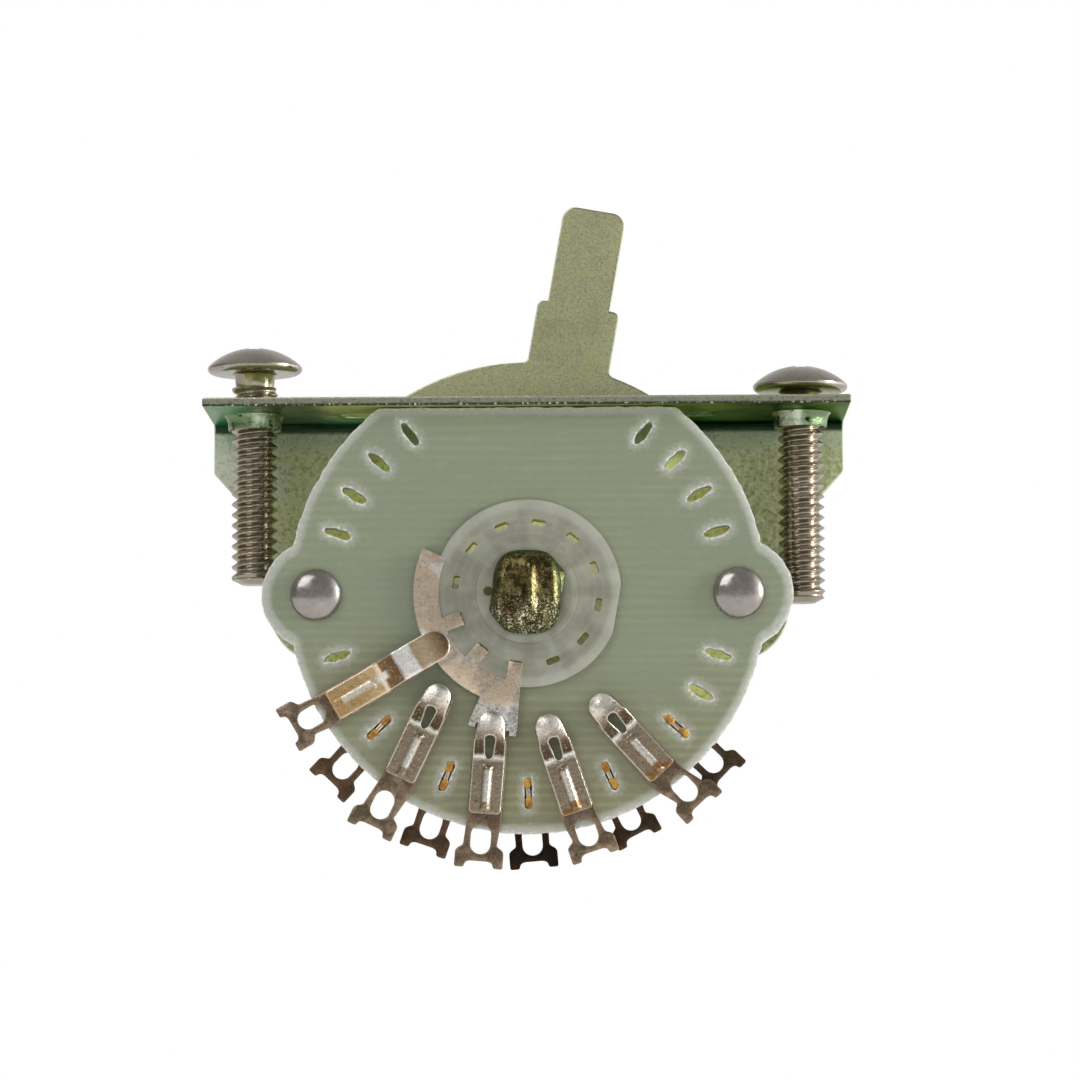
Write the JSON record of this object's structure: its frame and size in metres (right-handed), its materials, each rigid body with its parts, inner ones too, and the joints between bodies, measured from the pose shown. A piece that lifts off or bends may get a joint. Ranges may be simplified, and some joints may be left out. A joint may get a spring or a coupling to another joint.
{
  "type": "guitar pickup selector switch",
  "caption": "Lever switch: folded bracket with mounting screws, and a lever that turns a rotor between clip contacts with solder lugs on a round wafer.",
  "frame": {"origin": "centre of the bracket's mounting face, midway between the mounting screws", "axes": "+X along the bracket through both screws, +Z out of the mounting face on the lever's side, -Y towards the wafer"},
  "size_m": [0.0484, 0.0169, 0.0503],
  "materials": {
    "bracket": "green-olive iridescent chromate",
    "lever": "olive chromate, grainy",
    "shaft": "gold-olive chromate, staked",
    "steel": "plain",
    "spring_steel": "satin",
    "nickel": "polished nickel",
    "wafer": "translucent glass-epoxy",
    "rotor": "milky translucent nylon",
    "rotor_contact": "mottled silver plate",
    "terminal": "tarnished tan-brown",
    "rear_terminal": "tarnished dark brown",
    "leaf": "speckled silver plate",
    "common_leaf": "golden silver plate"
  },
  "bodies": {
    "frame": {"common_leaf": "common_leaf", "common_terminal": "terminal", "detent_roller": "steel", "detent_spring": "spring_steel", "front_leaf_1": "leaf", "front_leaf_2": "leaf", "front_leaf_3": "leaf", "front_leaf_4": "leaf", "front_terminal_1": "terminal", "front_terminal_2": "terminal", "front_terminal_3": "terminal", "front_terminal_4": "terminal", "mounting_bracket": "bracket", "mounting_screw_left": "nickel", "mounting_screw_right": "nickel", "rear_leaf_1": "leaf", "rear_leaf_2": "leaf", "rear_leaf_3": "leaf", "rear_leaf_4": "leaf", "rear_leaf_5": "leaf", "rear_terminal_1": "rear_terminal", "rear_terminal_2": "rear_terminal", "rear_terminal_3": "rear_terminal", "rear_terminal_4": "rear_terminal", "rear_terminal_5": "rear_terminal", "rivet_left": "nickel", "rivet_right": "nickel", "shaft_bushing": "steel", "spacer_left": "steel", "spacer_right": "steel", "wafer": "wafer"},
    "lever": {"lever": "lever", "shaft": "shaft", "retaining_ring": "spring_steel", "rotor_front": "rotor", "rotor_rear": "rotor", "rotor_contact_front": "rotor_contact", "rotor_contact_rear": "rotor_contact"}
  },
  "joints": [
    {"name": "lever_swing", "type": "hinge", "parent": "frame", "child": "lever", "pos_m": [0, 0, -0.0147], "axis": [0, 1, 0], "range_deg": [-40, 20], "deforming": ["detent_spring", "detent_roller"]}
  ]
}
